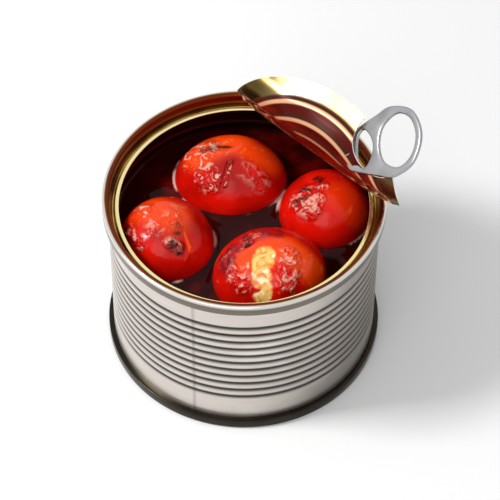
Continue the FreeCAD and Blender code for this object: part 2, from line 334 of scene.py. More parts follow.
@dataclass(frozen=True)
class PanelFinish:
    """Underside of the peeled lid: gold lacquer at its rim, wet and red further in, with painted highlights
    and painted shade on both.
    """

    gold: Colour = (0.36, 0.285, 0.14)
    olive: Colour = (0.11, 0.072, 0.020)
    rim_highlight: Colour = (0.90, 0.84, 0.70)
    rim_shade: Colour = (0.10, 0.04, 0.015)
    deep: Colour = (0.085, 0.004, 0.002)
    tan: Colour = (0.86, 0.46, 0.25)
    brown: Colour = (0.045, 0.012, 0.006)
    tip_shade: Colour = (0.10, 0.030, 0.010)
    lit_red: Colour = (0.24, 0.008, 0.003)
    bead_light: tuple[float, ...] = (0.85, 0.8, 0.5)
    rim_inner: float = 28.6
    scale: float = 0.01

    def build(self) -> Material:
        """Make the material."""
        s = Shader("lid underside")
        vector, *_ = s.position()
        u, v = s.uv()
        radius = s.radius(u, v)

        def span(value, low: float, high: float):
            """Share of a flat coordinate between two limits in millimetres."""
            return s.span(value, low * self.scale, high * self.scale)

        def band(value, centre: float, half: float):
            """1 at a flat coordinate in millimetres, 0 away from it."""
            return s.band(value, centre * self.scale, half * self.scale)

        cloudy = s.noise(vector, 120.0, 4.0)
        # Painted light: the sheet's red is brighter before the roll and darker beyond it.
        centre = s.mix(span(u, 21.0, 17.0), self.deep, self.lit_red)
        centre = s.tint(centre, self.brown, s.span(cloudy, 0.45, 0.8), 0.6)
        # Painted shade: the red darkens to red-brown towards the tab's side.
        centre = s.tint(centre, self.tip_shade, span(v, 15.0, 26.0), 0.8)
        # Painted shade and painted highlight on each bead: a brown line beside it and a tan line on it.
        for ring, strength in zip(LID_BEADS, self.bead_light):
            centre = s.tint(centre, self.brown, band(radius, ring + 1.1, 1.0), 0.7)
            centre = s.tint(centre, self.tan, band(radius, ring, 0.75), strength)
        rim = span(radius, self.rim_inner - 0.3, self.rim_inner + 0.6)
        # Painted shade: the rim goes dark olive towards its left-hand end.
        edge = s.mix(span(v, -12.0, -24.0), self.gold, self.olive)
        edge = s.tint(edge, self.olive, s.span(cloudy, 0.35, 0.75), 0.5)
        # Painted highlight across the rim, left of its middle.
        edge = s.tint(edge, self.rim_highlight, band(v, -10.5, 7.0), 0.40)
        # Painted shade: the rim darkens towards the tab's side.
        edge = s.tint(edge, self.rim_shade, span(v, 8.0, 20.0), 0.85)
        s.principled(base_color=s.mix(rim, centre, edge), metallic=s.varied(0.12, rim, 0.8),
                     specular_ior_level=0.1, roughness=s.varied(0.20, cloudy, 0.16))
        s.bump(s.noise(vector, 260.0, 3.0), 0.00006, 0.35)
        return s.material


@dataclass(frozen=True)
class MetalFinish:
    """A plain pressed or cut metal."""

    name: str
    colour: Colour
    roughness: float
    dulled: float = 0.72

    def build(self) -> Material:
        """Make the material."""
        s = Shader(self.name)
        vector, *_ = s.position()
        cloudy = s.noise(vector, 180.0, 3.0)
        dull = tuple(self.dulled * c for c in self.colour)
        s.principled(base_color=s.mix(s.span(cloudy, 0.4, 0.8), self.colour, dull), metallic=1.0,
                     roughness=s.varied(self.roughness, cloudy, 0.1))
        s.bump(s.noise(vector, 900.0, 2.0), 0.00001, 0.4)
        return s.material


@dataclass(frozen=True)
class JuiceFinish:
    """Thin dark tomato juice with small painted glints where it meets the skins."""

    deep: Colour = (0.022, 0.0009, 0.0005)
    thin: Colour = (0.10, 0.0022, 0.0010)
    glint: Colour = (0.85, 0.55, 0.48)

    def build(self) -> Material:
        """Make the material."""
        s = Shader("tomato juice")
        vector, *_ = s.position()
        colour = s.mix(s.span(s.noise(vector, 110.0, 4.0), 0.45, 0.75), self.deep, self.thin)
        # Painted highlight: pale glints near the tomatoes, broken up by noise.
        broken = s.span(s.noise(vector, 75.0, 2.0), 0.52, 0.60)
        glints = s.times(s.span(s.attribute("edge"), 0.60, 0.92), broken)
        s.principled(base_color=s.tint(colour, self.glint, glints, 0.75), roughness=0.05,
                     specular_ior_level=0.10)
        s.bump(s.noise(vector, 160.0, 3.0), 0.0002, 0.25)
        return s.material


@dataclass(frozen=True)
class SkinFinish:
    """Roasted tomato skin: red to orange, with wrinkled, charred and split places painted on it; the
    wrinkles are pale partly as loose skin and partly as painted highlight.
    """

    red: Colour = (0.70, 0.006, 0.0015)
    dark: Colour = (0.34, 0.0025, 0.001)
    orange: Colour = (0.92, 0.060, 0.003)
    freckle: Colour = (0.95, 0.25, 0.05)
    pale: Colour = (0.95, 0.55, 0.42)
    char: Colour = (0.035, 0.006, 0.004)
    purple: Colour = (0.24, 0.008, 0.012)
    flesh: Colour = (0.90, 0.60, 0.17)
    fibre: Colour = (0.90, 0.20, 0.02)
    seed: Colour = (0.98, 0.86, 0.62)
    scatter: Point3 = (1.0, 0.25, 0.1)

    def build(self) -> Material:
        """Make the material."""
        s = Shader("roasted tomato skin")
        vector, *_ = s.position()
        orange, wrinkle, purple, flesh, char = (
            s.attribute(name) for name in ("orange", "wrinkle", "purple", "flesh", "char"))
        soft = s.noise(vector, 70.0, 4.0)
        fine = s.noise(vector, 420.0, 6.0, warp=0.6)
        folds = s.noise(vector, 300.0, 3.0, warp=1.6)
        torn = s.times(s.math("SUBTRACT", s.noise(vector, 210.0, 5.0, warp=0.8), 0.5), 2.6)

        def ragged(mark, low: float, high: float, faint: float, full: float):
            """Share of a mark with a torn outline, none where it is faint."""
            return s.times(s.span(s.math("ADD", mark, torn), low, high), s.span(mark, faint, full))

        colour = s.mix(s.span(soft, 0.42, 0.72), self.red, self.dark)
        colour = s.mix(s.times(orange, s.math("SUBTRACT", 1.75, soft), clamp=True), colour, self.orange)
        colour = s.tint(colour, self.freckle, s.times(s.span(fine, 0.60, 0.68), orange), 0.5)
        # Pale loose skin and painted highlight in the folds of the wrinkled places.
        crinkled = s.times(wrinkle, s.span(folds, 0.50, 0.60), clamp=True)
        colour = s.tint(colour, self.pale, crinkled, 0.74)
        colour = s.mix(s.times(purple, s.span(fine, 0.30, 0.60)), colour, self.purple)
        pulp = s.mix(s.span(folds, 0.38, 0.70), self.flesh, self.fibre)
        pulp = s.mix(s.span(fine, 0.56, 0.70), pulp, self.seed)
        colour = s.mix(ragged(flesh, 0.20, 0.75, 0.03, 0.35), colour, pulp)
        colour = s.tint(colour, self.char, ragged(char, 0.35, 0.85, 0.02, 0.30), 0.92)
        s.principled(base_color=colour, roughness=s.varied(0.09, fine, 0.12), specular_ior_level=0.24,
                     subsurface_weight=0.10, subsurface_scale=0.002, subsurface_radius=self.scatter)
        creases = s.times(folds, s.math("ADD", wrinkle, 0.05))
        s.bump(creases, 0.0016, 1.0, s.bump(soft, 0.0006, 0.25))
        return s.material


# ------------------------------------------------------------------ meshes


def chain(bm: BMesh, points: Iterable[Vector], closed: bool) -> list:
    """Lay a run of edges through points.

    Args:
        bm: mesh to add to.
        points: where, in order.
        closed: whether the last point joins the first.
    Returns:
        The edges.
    """
    verts = [bmesh.ops.create_vert(bm, co=p)["vert"][0] for p in points]
    pairs = list(zip(verts, verts[1:])) + ([(verts[-1], verts[0])] if closed else [])
    edges = []
    for pair in pairs:
        edges += bmesh.ops.contextual_create(bm, geom=list(pair))["edges"]
    return edges


def finish_mesh(bm: BMesh, name: str, materials: Sequence[Material],
                angle: float = 40.0) -> Object:
    """Turn a working mesh into an object with smooth faces and sharp creases.

    Args:
        bm: the mesh, freed afterwards.
        name: the piece's name.
        materials: its finishes, in slot order.
        angle: creases sharper than this, in degrees, stay sharp.
    Returns:
        The object, linked to the scene.
    """
    mesh = bpy.data.meshes.new(name)
    for edge in bm.edges:
        edge.smooth = edge.calc_face_angle(0.0) < radians(angle)
    for face in bm.faces:
        face.smooth = True
    bm.to_mesh(mesh)
    bm.free()
    for material in materials:
        mesh.materials.append(material)
    piece = bpy.data.objects.new(name, mesh)
    bpy.context.scene.collection.objects.link(piece)
    return piece


def declare(piece: Object, node: str, slot: Slot) -> Object:
    """Attach a finished piece to the root body and hide the solid that it stands for."""
    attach(piece, "root")
    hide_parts(node)
    return piece


def cut(bm: BMesh, place: Vector, normal: Vector, **options) -> None:
    """Split a whole mesh along a plane."""
    bmesh.ops.bisect_plane(bm, geom=bm.verts[:] + bm.edges[:] + bm.faces[:], plane_co=place, plane_no=normal,
                           **options)


def arc(centre: Point2, radius: float, start: int, stop: int) -> list[Point2]:
    """Points of an arc from one angle to another, in whole degrees, both included."""
    step = ARC_STEP if stop > start else -ARC_STEP
    turns = [radians(a) for a in range(start, stop + step // ARC_STEP, step)]
    return [(centre[0] + radius * cos(t), centre[1] + radius * sin(t)) for t in turns]


def lathe(profile: Sequence[Point2], steps: int, closed: bool = True) -> BMesh:
    """Spin a profile of (radius, height) in millimetres about the vertical axis.

    Args:
        profile: the points, in order; an open one starts and ends on the axis.
        steps: segments in the full turn.
        closed: whether the profile is a loop.
    Returns:
        A closed mesh with outward normals.
    """
    bm = bmesh.new()
    edges = chain(bm, [Vector((r * MM, 0.0, z * MM)) for r, z in profile], closed)
    geom = list({v for e in edges for v in e.verts}) + edges
    bmesh.ops.spin(bm, geom=geom, cent=(0, 0, 0), axis=(0, 0, 1), angle=tau, steps=steps,
                   use_merge=True, use_duplicate=False)
    bmesh.ops.remove_doubles(bm, verts=bm.verts, dist=1e-6)
    bmesh.ops.recalc_face_normals(bm, faces=bm.faces)
    return bm


def paint(bm: BMesh, name: str, share: Callable[[Vector], float]) -> None:
    """Store a share from 0 to 1 at each vertex, from its place."""
    layer = bm.verts.layers.float.new(name)
    for vert in bm.verts:
        vert[layer] = min(max(share(vert.co), 0.0), 1.0)


# ------------------------------------------------------------------ the tin


@dataclass(frozen=True)
class TinSizes:
    """Sizes that several pieces share, in millimetres."""

    height: float = 54.2
    seam_radius: float = 38.1
    seam_height: float = 3.3
    seam_crown: float = 0.75
    body_radius: float = 36.65
    body_wall: float = 0.30
    setback: float = 0.9
    chuck_top: float = 36.1
    chuck_foot: float = 35.7
    sheet: float = 0.4
    lip_drop: float = 3.4
    foot_inner: float = 36.9
    foot_outer: float = 37.6
    inner_corner: float = 0.8
    outer_corner: float = 0.5
    corner_steps: int = 5
    steps: int = 176

    @property
    def inner_radius(self) -> float:
        """Inside of the plain body wall."""
        return self.body_radius - self.body_wall

    def seam_outline(self, top: bool) -> list[Point2]:
        """Outer side and rounded crest of a double seam, from its hem to the chuck wall."""
        level = self.height if top else 0.0
        sign = -1.0 if top else 1.0
        rim, hem, crown = self.seam_radius, self.seam_height, self.seam_crown
        turns = [radians(90.0 * i / self.corner_steps) for i in range(1, self.corner_steps)]
        points = [(self.body_radius, hem), (self.body_radius + 0.25, hem + 0.02), (rim - 0.32, hem),
                  (rim - 0.08, hem - 0.12), (rim, hem - 0.40), (rim - 0.03, hem * 0.55), (rim, crown)]
        points += [(self.foot_outer + self.outer_corner * cos(t), crown * (1 - sin(t))) for t in turns]
        points += [(self.foot_outer, 0.0), (self.foot_inner, 0.0)]
        points += [(self.foot_inner - self.inner_corner * sin(t), crown * (1 - cos(t))) for t in turns]
        points.append((self.chuck_top, crown))
        return [(r, level + sign * z) for r, z in points]


@dataclass(frozen=True)
class Wall:
    """The beaded cylinder."""

    tin: TinSizes
    bead_count: int = 11
    pitch: float = 3.05
    depth: float = 0.5
    lowest: float = 12.55
    groove_half: float = 0.66
    points_per_bead: int = 12

    def depression(self, z: float) -> float:
        """How far the wall is pressed in at a height."""
        place = (z - self.lowest) / self.pitch
        if not -0.5 <= place <= self.bead_count - 0.5:
            return 0.0
        away = abs(place - round(place)) * self.pitch
        return self.depth * exp(-((away / self.groove_half) ** 2))

    def build(self, finish: WallFinish) -> Object:
        """Make the piece."""
        low, high = self.tin.setback, self.tin.height - self.tin.setback
        start = self.lowest - self.pitch / 2
        count = self.bead_count * self.points_per_bead
        heights = [low, *(start + self.pitch * self.bead_count * i / count for i in range(count + 1)), high]
        outer = [(self.tin.body_radius - self.depression(z), z) for z in heights]
        inner = [(r - self.tin.body_wall, z) for r, z in reversed(outer)]
        bm = lathe(outer + inner, self.tin.steps)
        half = self.tin.body_wall / 2

        def outside(place: Vector) -> float:
            """1 on the outer skin, 0 on the inner."""
            middle = self.tin.body_radius - self.depression(place.z / MM) - half
            return 1.0 if hypot(place.x, place.y) / MM > middle else 0.0

        paint(bm, "outer", outside)
        piece = finish_mesh(bm, "beaded_wall", [finish.build()], 60.0)
        return declare(piece, Node.WALL.value, Slot.TINPLATE)


@dataclass(frozen=True)
class Base:
    """Double seam, chuck wall and stepped panel of the bottom end."""

    tin: TinSizes
    panel_height: float = 3.6
    shelf: float = 1.2
    step_run: float = 0.8
    sink: float = 0.6
    steps: tuple[Point2, ...] = ((33.6, 0.0), (30.5, -0.5), (24.5, -1.0), (18.5, -1.5))

    def surface(self) -> list[Point2]:
        """Upper face from the shelf inwards."""
        points = [(self.steps[0][0] + self.shelf, self.panel_height)]
        for (radius, drop), after in zip(self.steps, self.steps[1:] + (None,)):
            points.append((radius, self.panel_height + drop))
            if after is not None:
                points.append((radius - self.step_run, self.panel_height + after[1]))
        return points + [(0.0, self.panel_height + self.steps[-1][1])]

    def build(self, finish: MetalFinish) -> Object:
        """Make the piece."""
        upper = self.surface()
        lower = [(r, z - self.tin.sheet) for r, z in upper]
        tin = self.tin
        outline = tin.seam_outline(False)
        outline.append((tin.chuck_foot, self.panel_height - tin.sheet - self.sink))
        outline += lower + upper[::-1]
        outline += [(tin.inner_radius, self.panel_height), (tin.inner_radius, tin.setback),
                    (tin.body_radius, tin.setback)]
        outline = [p for i, p in enumerate(outline) if p != outline[i - 1]]
        axis = next(i for i, (r, _) in enumerate(outline) if r == 0.0)
        bm = lathe(outline[axis + 1:] + outline[:axis + 1], tin.steps, closed=False)
        return declare(finish_mesh(bm, "bottom_panel_and_seam", [finish.build()]), Node.BASE.value,
                       Slot.TINPLATE)


@dataclass(frozen=True)
class EndRing:
    """Seam, chuck wall, countersink and lip left round the opening."""

    tin: TinSizes
    sink_radius: float = 35.2
    sink_depth: float = 4.35
    sink_half: float = 0.5
    lip_root: float = 34.6
    lip_radius: float = 33.6
    ripple: float = 0.06
    ripples: float = 160.0

    def outline(self) -> list[Point2]:
        """Closed cross-section."""
        tin = self.tin
        top, sheet = tin.height, tin.sheet
        sink = top - self.sink_depth
        lip = top - tin.lip_drop
        middle = (self.sink_radius, sink + self.sink_half)
        return [*tin.seam_outline(True), *arc(middle, self.sink_half, 0, -180), (self.lip_root, lip),
                *arc((self.lip_radius + sheet / 2, lip - sheet / 2), sheet / 2, 90, 270),
                (self.lip_root - sheet, lip - sheet), *arc(middle, self.sink_half + sheet, 180, 330),
                (tin.inner_radius, top - tin.seam_height), (tin.inner_radius, top - tin.setback),
                (tin.body_radius, top - tin.setback)]

    def build(self, finish: EndFinish) -> Object:
        """Make the piece, its lip slightly uneven as torn along the score."""
        bm = lathe(self.outline(), self.tin.steps)
        for vert in bm.verts:
            radius = hypot(vert.co.x, vert.co.y) / MM
            if radius < self.lip_root:
                share = min((self.lip_root - radius) / (self.lip_root - self.lip_radius), 1.0)
                wave = noise.noise(Vector((vert.co.x, vert.co.y, 0.0)) * self.ripples)
                vert.co.z += wave * self.ripple * share * MM
        return declare(finish_mesh(bm, "end_ring", [finish.build()], 50.0), Node.LID.value, Slot.GOLD)


# ------------------------------------------------------------------ the peeled lid


@dataclass(frozen=True)
class PeelPath:
    """Way the peeled sheet runs: up from its fold, over a roll and out to its free edge."""

    tin: TinSizes
    azimuth: float = radians(46.5)
    fold_offset: float = 26.4
    rise_length: float = 9.5
    rise: float = radians(113.6)
    drift: float = 6.2
    roll_radius: float = 7.2
    roll_start: float = 15.6
    flap: float = radians(31.0)
    panel_radius: float = 33.4
    tip_half: float = 4.0
    end_lift: float = 2.6

    @property
    def peel(self) -> Vector:
        """Plan direction in which the lid is peeled."""
        return Vector((cos(self.azimuth), sin(self.azimuth), 0.0))

    @property
    def across(self) -> Vector:
        """Plan direction across the lid, to the right."""
        return Vector((sin(self.azimuth), -cos(self.azimuth), 0.0))

    def share(self, reach: float) -> float:
        """How much of the rise lies behind a reach."""
        return min(max((reach + self.fold_offset) / (self.roll_start + self.fold_offset), 0.0), 1.0)

    def at(self, reach: float) -> tuple[Vector, Vector, Vector]:
        """Middle line of the sheet.

        Args:
            reach: distance from the disc's centre along the peel, in millimetres.
        Returns:
            Place, direction along the sheet and outward normal; the place is in millimetres.
        """
        up = Vector((0.0, 0.0, 1.0))
        level = self.tin.height - self.tin.lip_drop - self.tin.sheet / 2
        place = self.peel * self.fold_offset + up * level
        share = self.share(reach)
        climb = self.peel * cos(self.rise) + up * sin(self.rise)
        place = place + climb * (self.rise_length * share) + self.across * (self.drift * share)
        turned = min(max(reach - self.roll_start, 0.0) / self.roll_radius, self.rise - self.flap)
        angle = self.rise - turned
        place = place + self.peel * (self.roll_radius * (sin(self.rise) - sin(angle)))
        place = place + up * (self.roll_radius * (cos(angle) - cos(self.rise)))
        along = self.peel * cos(angle) + up * sin(angle)
        flat = max(reach - self.roll_start - turned * self.roll_radius, 0.0)
        return place + along * flat, along, self.peel * sin(angle) - up * cos(angle)

    def half(self, reach: float) -> float:
        """Half width of the sheet at a reach."""
        if reach >= self.roll_start:
            return sqrt(max(self.panel_radius ** 2 - reach ** 2, 0.01))
        low = sqrt(self.panel_radius ** 2 - self.fold_offset ** 2)
        high = sqrt(self.panel_radius ** 2 - self.roll_start ** 2)
        return low + (high - low) * sin(pi / 2 * self.share(reach))

    def lay(self, reach: float, side: float, lift: float) -> Vector:
        """Place of a point of the sheet, in metres.

        Args:
            reach: along the peel.
            side: across it.
            lift: height above the middle of the sheet, towards its gold face.
        Returns:
            The place.
        """
        place, along, outward = self.at(reach)
        half = self.half(reach)
        bow = self.end_lift * smooth(self.share(reach))
        bow *= max(half ** 2 - self.tip_half ** 2, 0.0) / self.panel_radius ** 2
        return (place + self.across * side + along * (bow * (side / half) ** 2) - outward * lift) * MM


def smooth(t: float) -> float:
    """Ease a share from 0 to 1."""
    t = min(max(t, 0.0), 1.0)
    return t * t * (3 - 2 * t)


@dataclass(frozen=True)
class TabSeat:
    """Where the pull tab sits on the peeled sheet, and how it is turned."""

    path: PeelPath
    across: float = 12.7
    along: float = 25.4
    swivel: float = radians(50.0)
    pitch: float = radians(20.0)
    notch_radius: float = 10.0
    notch_start: float = -2.9

    def matrix(self) -> Matrix:
        """From the tab's flat frame, in metres, to its place on the lid."""
        edge, along, outward = self.path.at(self.path.panel_radius)
        seat = edge + along * (self.along - self.path.panel_radius) + self.path.across * self.across
        seat = seat + outward * (self.path.tin.sheet / 2)
        heading = along * cos(self.swivel) + self.path.across * sin(self.swivel)
        side = outward.cross(heading)
        ahead = heading * cos(self.pitch) - outward * sin(self.pitch)
        away = outward * cos(self.pitch) + heading * sin(self.pitch)
        rows = Matrix((ahead, side, away)).transposed()
        return Matrix.Translation(seat * MM) @ rows.to_4x4()

    def in_notch(self, reach: float, side: float) -> float:
        """Below 1 where the tab has pulled the sheet's edge back."""
        centre = (self.notch_start + self.notch_radius) * cos(self.pitch)
        dx, dy = reach - self.along, side - self.across
        ahead = (dx * cos(self.swivel) + dy * sin(self.swivel) - centre) / cos(self.pitch)
        beside = -dx * sin(self.swivel) + dy * cos(self.swivel)
        return hypot(ahead, beside) / self.notch_radius

    def notch_edge(self, turn: float) -> Point2:
        """Point of the notch's rim at an angle about its centre, as (reach, side)."""
        reach = self.notch_start + self.notch_radius * (1 + cos(turn))
        ahead = reach * cos(self.pitch)
        beside = self.notch_radius * sin(turn)
        return (self.along + ahead * cos(self.swivel) - beside * sin(self.swivel),
                self.across + ahead * sin(self.swivel) + beside * cos(self.swivel))


@dataclass(frozen=True)
class PeeledPanel:
    """The torn-out disc, rolled back, gold underneath and silver outside."""

    path: PeelPath
    seat: TabSeat
    bead_height: float = 0.32
    bead_half: float = 0.85
    cell: float = 0.8
    grid_shift: float = 0.013
    crumple: float = 0.35
    rim_points: int = 240
    notch_margin: float = 0.05
    notch_reach: float = 4.0

    def outline(self) -> list[Point2]:
        """Flat outline as (reach, side), with the notch taken out."""
        last = sqrt(self.path.panel_radius ** 2 - self.path.tip_half ** 2)
        start = -self.path.fold_offset
        reaches = [start + (last - start) * sin(pi / 2 * i / self.rim_points)
                   for i in range(self.rim_points + 1)]
        right = [(u, self.path.half(u)) for u in reaches]
        left = [(u, -v) for u, v in reversed(right)]
        kept = [p for p in right + left if self.seat.in_notch(*p) > 1.0]
        pairs = list(zip(kept, kept[1:] + kept[:1]))
        gap = max(range(len(pairs)), key=lambda i: dist(*pairs[i]) * (min(pairs[i])[0] > 0))
        enter, leave = pairs[gap]
        rim = [self.seat.notch_edge(radians(a)) for a in range(0, 360, 3)]
        rim = [p for p in rim if abs(p[1]) < self.path.half(p[0]) - self.notch_margin
               and p[0] < last - self.notch_margin]
        path = [enter]
        while rim:
            path.append(min(rim, key=lambda p: dist(p, path[-1])))
            rim.remove(path[-1])
        return kept[:gap] + path + kept[gap + 1:] if dist(path[-1], leave) < self.notch_reach else kept

    def lift(self, reach: float, side: float) -> float:
        """Height of the pressed beads and the crumpled stretch."""
        radius = hypot(reach, side)
        height = sum(self.bead_height * exp(-(((radius - r) / self.bead_half) ** 2)) for r in LID_BEADS)
        share = self.path.share(reach)
        rough = noise.noise(Vector((reach * 0.35, side * 0.25, 3.0)))
        return (height if share >= 1.0 else 0.0) + self.crumple * rough * sin(pi * share)

    def build(self, gold: PanelFinish, silver: MetalFinish, torn: MetalFinish) -> Object:
        """Make the piece."""
        bm = bmesh.new()
        edges = chain(bm, [Vector((u * MM, v * MM, 0.0)) for u, v in self.outline()], True)
        bmesh.ops.contextual_create(bm, geom=edges)
        extent = self.path.panel_radius
        stations = int(2 * extent / self.cell)
        for axis in (Vector((1, 0, 0)), Vector((0, 1, 0))):
            for i in range(1, stations):
                cut(bm, axis * ((-extent + i * self.cell + self.grid_shift) * MM), axis, dist=1e-7)
        flat = bm.loops.layers.uv.new("sheet")
        for face in bm.faces:
            for loop in face.loops:
                loop[flat].uv = (loop.vert.co.x * 10.0, loop.vert.co.y * 10.0)
        reach = {}
        for vert in bm.verts:
            u, v = vert.co.x / MM, vert.co.y / MM
            reach[vert] = u
            vert.co = self.path.lay(u, v, self.path.tin.sheet / 2 + self.lift(u, v))
        bm.normal_update()
        if sum(f.normal.dot(self.path.at(reach[f.verts[0]])[2]) for f in bm.faces) > 0:
            bmesh.ops.reverse_faces(bm, faces=bm.faces)
        top = set(bm.faces)
        bmesh.ops.solidify(bm, geom=bm.faces[:], thickness=self.path.tin.sheet * MM)
        bm.normal_update()
        for face in set(bm.faces) - top:
            joined = {other for edge in face.edges for other in edge.link_faces}
            face.material_index = 2 if joined & top else 1
        piece = finish_mesh(bm, "peeled_panel", [gold.build(), silver.build(), torn.build()], 50.0)
        return declare(piece, Node.LID.value, Slot.GOLD)


@dataclass(frozen=True)
class FoldRemains:
    """The part of the disc that stays in the end, beyond the fold."""

    path: PeelPath
    radius: float = 34.3
    overlap: float = 0.15

    def build(self, finish: MetalFinish) -> Object:
        """Make the piece."""
        tin = self.path.tin
        bm = bmesh.new()
        bmesh.ops.create_circle(bm, cap_ends=True, segments=128, radius=self.radius * MM)
        edge = self.path.peel * ((self.path.fold_offset - self.overlap) * MM)
        cut(bm, edge, self.path.peel, clear_inner=True)
        bmesh.ops.translate(bm, verts=bm.verts, vec=(0, 0, (tin.height - tin.lip_drop) * MM))
        for face in bm.faces:
            if face.normal.z < 0:
                face.normal_flip()
        bmesh.ops.solidify(bm, geom=bm.faces[:], thickness=tin.sheet * MM)
        bmesh.ops.recalc_face_normals(bm, faces=bm.faces)
        return declare(finish_mesh(bm, "fold_remains", [finish.build()]), Node.LID.value, Slot.GOLD)


@dataclass(frozen=True)
class Rivet:
    """Stem and domed head that hold the tab, formed from the sheet."""

    seat: TabSeat
    stem_radius: float = 1.4
    head_radius: float = 2.0
    head: float = 0.4
    foot: float = 0.7
    gap: float = 0.9
    thickness: float = 1.1
    place: float = -4.6
    segments: int = 32

    def build(self, finish: MetalFinish) -> Object:
        """Make the piece."""
        top = self.gap + self.thickness
        dome = [(self.head_radius * cos(radians(a)), top + self.head * sin(radians(a)))
                for a in range(0, 91, 15)]
        dome[-1] = (0.0, top + self.head)
        profile = [(0.0, -self.foot), (self.stem_radius, -self.foot), (self.stem_radius, top)] + dome
        bm = lathe(profile, self.segments, closed=False)
        bmesh.ops.translate(bm, verts=bm.verts, vec=(self.place * MM, 0, 0))
        bmesh.ops.transform(bm, matrix=self.seat.matrix(), verts=bm.verts)
        return declare(finish_mesh(bm, "rivet", [finish.build()]), Node.LID.value, Slot.GOLD)


@dataclass(frozen=True)
class PullTab:
    """Pressed ring with a finger hole and the window that its riveted tongue left."""

    seat: TabSeat
    nose: float = -6.6
    end: float = 18.6
    width: float = 19.6
    nose_width: float = 12.4
    thickness: float = 1.1
    ring_bar: float = 1.9
    bridge: float = 2.1
    window_length: float = 5.4
    window_width: float = 10.6
    gap: float = 0.9
    rounding: float = 0.42

    @staticmethod
    def loop(half: Sequence[Point2], per_span: int = 14) -> list[Point2]:
        """Smooth closed curve through points given for its upper side.

        Args:
            half: from one end on the axis to the other.
            per_span: points between two given ones.
        Returns:
            The whole curve's points.
        """
        ring = list(half) + [(x, -y) for x, y in half[-2:0:-1]]
        count = len(ring)
        points = []
        for i in range(count):
            before, here, there, after = (Vector(ring[(i + k) % count]) for k in (-1, 0, 1, 2))
            for j in range(per_span):
                t = j / per_span
                spot = 0.5 * (2 * here + (there - before) * t
                              + (2 * before - 5 * here + 4 * there - after) * t * t
                              + (3 * here - before - 3 * there + after) * t ** 3)
                points.append((spot.x, spot.y))
        return points

    def loops(self) -> list[list[Point2]]:
        """Outline, finger hole and window."""
        half, nose = self.width / 2, self.nose_width / 2
        middle = self.end - half * 0.98
        outline = [(self.nose, 0), (self.nose + 1.0, nose * 0.72), (self.nose + 4.2, nose),
                   (middle - 5.0, half * 0.86), (middle, half), (self.end - 2.9, half * 0.74), (self.end, 0)]
        start, stop = self.window_length / 2 + self.bridge, self.end - self.ring_bar
        hole_half = half - self.ring_bar - 0.6
        hole = [(start, 0), (start + 1.4, hole_half * 0.66), ((start + stop) / 2, hole_half),
                (stop - 1.7, hole_half * 0.7), (stop, 0)]
        left, high = -self.window_length / 2, self.window_width / 2
        window = [(left, 0), (left + 0.5, high * 0.7), (left + self.window_length * 0.45, high),
                  (-left - 0.9, high * 0.6), (-left, 0)]
        return [self.loop(outline), self.loop(hole), self.loop(window)]

    def build(self, finish: MetalFinish) -> Object:
        """Make the piece."""
        bm = bmesh.new()
        edges = []
        for loop in self.loops():
            edges += chain(bm, [Vector((x * MM, y * MM, self.gap * MM)) for x, y in loop], True)
        bmesh.ops.triangle_fill(bm, edges=edges, use_beauty=True, use_dissolve=False, normal=(0, 0, 1))
        lifted = bmesh.ops.extrude_face_region(bm, geom=bm.faces[:], use_keep_orig=True)["geom"]
        verts = [g for g in lifted if isinstance(g, BMVert)]
        bmesh.ops.translate(bm, verts=verts, vec=(0, 0, self.thickness * MM))
        bmesh.ops.recalc_face_normals(bm, faces=bm.faces)
        sharp = [e for e in bm.edges if e.calc_face_angle(0.0) > radians(70)]
        bmesh.ops.bevel(bm, geom=sharp, offset=self.rounding * MM, segments=4, profile=0.5, affect="EDGES",
                        material=-1, clamp_overlap=True)
        bmesh.ops.remove_doubles(bm, verts=bm.verts, dist=1e-6)
        bmesh.ops.transform(bm, matrix=self.seat.matrix(), verts=bm.verts)
        bmesh.ops.recalc_face_normals(bm, faces=bm.faces)
        return declare(finish_mesh(bm, "ring_pull", [finish.build()], 35.0), Node.TAB.value, Slot.ALUMINIUM)


# ------------------------------------------------------------------ contents


class Mark(Enum):
    """What the oven did to a place on a tomato."""

    ORANGE = "orange"
    WRINKLE = "wrinkle"
    CHAR = "char"
    PURPLE = "purple"
    FLESH = "flesh"
    CRACK = "crack"
    RIDGE = "ridge"
    PIT = "pit"


PAINTED = (Mark.ORANGE, Mark.WRINKLE, Mark.CHAR, Mark.PURPLE, Mark.FLESH)
# Height that a full mark adds to the skin, in millimetres.
RELIEF = {Mark.FLESH: -0.30, Mark.CRACK: -0.55, Mark.RIDGE: 0.14, Mark.PIT: -1.5}


@dataclass(frozen=True)
class Patch:
    """A marked stretch of a tomato between two directions from its middle."""

    mark: Mark
    start: Point3
    end: Point3
    radius: float
    strength: float = 1.0

    def share(self, heading: Vector) -> float:
        """How strongly the mark shows in a direction."""
        a, b = Vector(self.start).normalized(), Vector(self.end).normalized()
        line = b - a
        t = 0.0 if line.length < 1e-6 else min(max((heading - a).dot(line) / line.length_squared, 0.0), 1.0)
        away = (heading - (a + line * t).normalized()).length
        return self.strength * (1.0 - smooth((away / self.radius - CORE) / (1.0 - CORE)))


